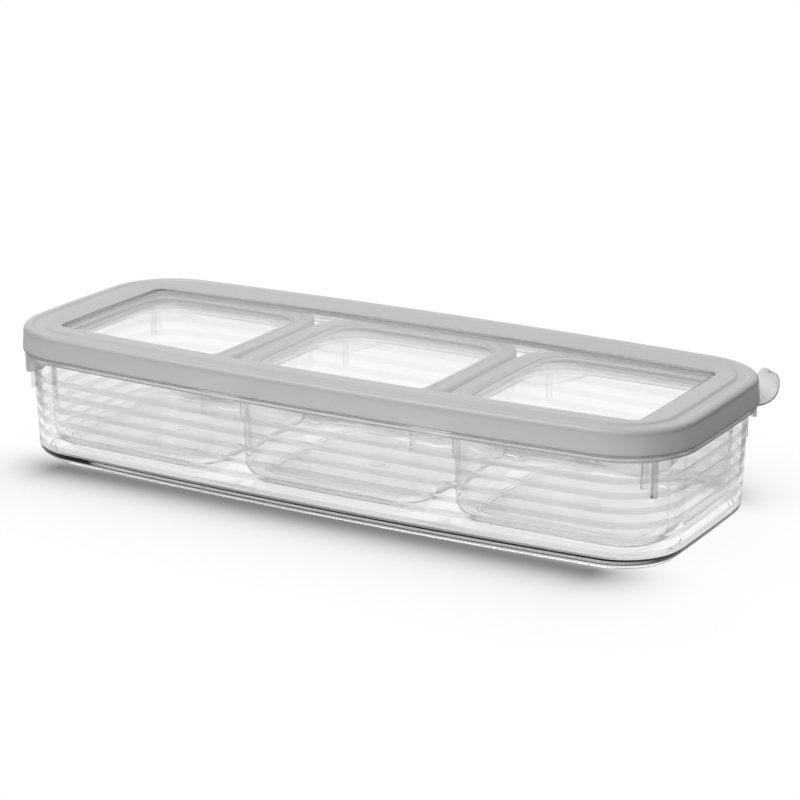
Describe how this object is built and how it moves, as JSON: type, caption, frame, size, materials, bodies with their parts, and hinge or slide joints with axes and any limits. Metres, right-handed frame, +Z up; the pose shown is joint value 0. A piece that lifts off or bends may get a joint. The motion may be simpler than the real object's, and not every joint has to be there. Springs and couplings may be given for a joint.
{
  "type": "breast milk storage freezer box",
  "caption": "Long clear stackable freezer box with a soft-framed window lid and a corner pull tab, holding a row of square clear milk boxes with matching lids.",
  "frame": {"origin": "middle of the outer box's footprint, on the surface that its foot ring stands on", "axes": "+X along the box towards the end with the pull tab, +Y across it towards the back corner with the pull tab, +Z up through the lid"},
  "size_m": [0.2987, 0.117, 0.055],
  "materials": {
    "clear_box": "clear, polished",
    "clear_lid": "clear, polished",
    "soft_frame": "satin, translucent"
  },
  "bodies": {
    "outer_box": {"outer_box": "clear_box"},
    "outer_lid": {"outer_lid_window": "clear_lid", "outer_lid_frame": "soft_frame"},
    "milk_box_left_body": {"milk_box_left": "clear_box"},
    "milk_lid_left": {"milk_lid_window_left": "clear_lid", "milk_lid_frame_left": "soft_frame"},
    "milk_box_middle_body": {"milk_box_middle": "clear_box"},
    "milk_lid_middle": {"milk_lid_window_middle": "clear_lid", "milk_lid_frame_middle": "soft_frame"},
    "milk_box_right_body": {"milk_box_right": "clear_box"},
    "milk_lid_right": {"milk_lid_window_right": "clear_lid", "milk_lid_frame_right": "soft_frame"}
  },
  "joints": [
    {"name": "outer_lid_lift", "type": "slide", "parent": "outer_box", "child": "outer_lid", "axis": [0, 0, 1], "range_m": [0, 0.11]},
    {"name": "milk_box_left_lift", "type": "slide", "parent": "outer_box", "child": "milk_box_left_body", "axis": [0, 0, 1], "range_m": [0, 0.055]},
    {"name": "milk_lid_left_lift", "type": "slide", "parent": "milk_box_left_body", "child": "milk_lid_left", "axis": [0, 0, 1], "range_m": [0, 0.022]},
    {"name": "milk_box_middle_lift", "type": "slide", "parent": "outer_box", "child": "milk_box_middle_body", "axis": [0, 0, 1], "range_m": [0, 0.055]},
    {"name": "milk_lid_middle_lift", "type": "slide", "parent": "milk_box_middle_body", "child": "milk_lid_middle", "axis": [0, 0, 1], "range_m": [0, 0.022]},
    {"name": "milk_box_right_lift", "type": "slide", "parent": "outer_box", "child": "milk_box_right_body", "axis": [0, 0, 1], "range_m": [0, 0.055]},
    {"name": "milk_lid_right_lift", "type": "slide", "parent": "milk_box_right_body", "child": "milk_lid_right", "axis": [0, 0, 1], "range_m": [0, 0.022]}
  ],
  "couplings": [
    {"joint": "milk_box_left_lift", "follows": "outer_lid_lift", "ratio": 0.5},
    {"joint": "milk_lid_left_lift", "follows": "outer_lid_lift", "ratio": 0.2},
    {"joint": "milk_box_middle_lift", "follows": "outer_lid_lift", "ratio": 0.5},
    {"joint": "milk_lid_middle_lift", "follows": "outer_lid_lift", "ratio": 0.2},
    {"joint": "milk_box_right_lift", "follows": "outer_lid_lift", "ratio": 0.5},
    {"joint": "milk_lid_right_lift", "follows": "outer_lid_lift", "ratio": 0.2}
  ]
}
